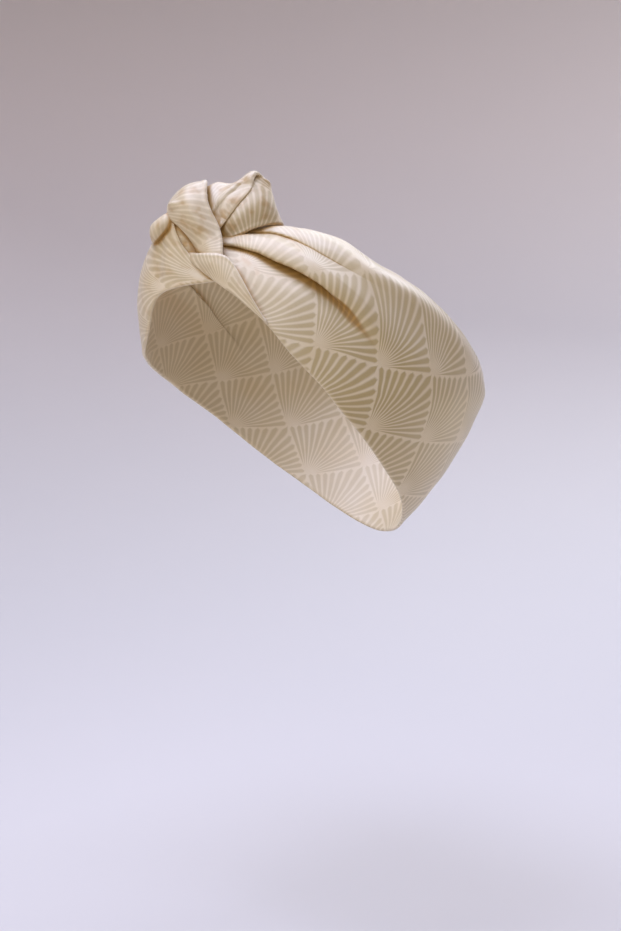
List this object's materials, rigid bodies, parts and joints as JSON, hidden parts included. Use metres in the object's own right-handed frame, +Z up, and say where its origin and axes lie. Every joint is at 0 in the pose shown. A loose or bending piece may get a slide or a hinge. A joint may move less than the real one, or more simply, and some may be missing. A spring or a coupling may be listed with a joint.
{
  "type": "bandana",
  "caption": "Knotted head wrap: a wide doubled cloth band with pleats gathering into a knot above the forehead, worn round the head to hold back hair.",
  "frame": {"origin": "middle of the head hollow, at the height where the wearer's head is widest", "axes": "+Z up toward the crown, -Y toward the forehead and the knot, +X toward the wearer's left side; the wrap is stored as worn"},
  "size_m": [0.1542, 0.2028, 0.1959],
  "materials": {
    "printed_cloth": "cream satin weave with a tone-on-tone beige fan print"
  },
  "bodies": {
    "root": {"band": "printed_cloth", "front_cuff": "printed_cloth", "knot_core": "printed_cloth", "knot_strap": "printed_cloth", "knot_loop": "printed_cloth", "knot_flap": "printed_cloth", "knot_roll": "printed_cloth"}
  },
  "joints": []
}
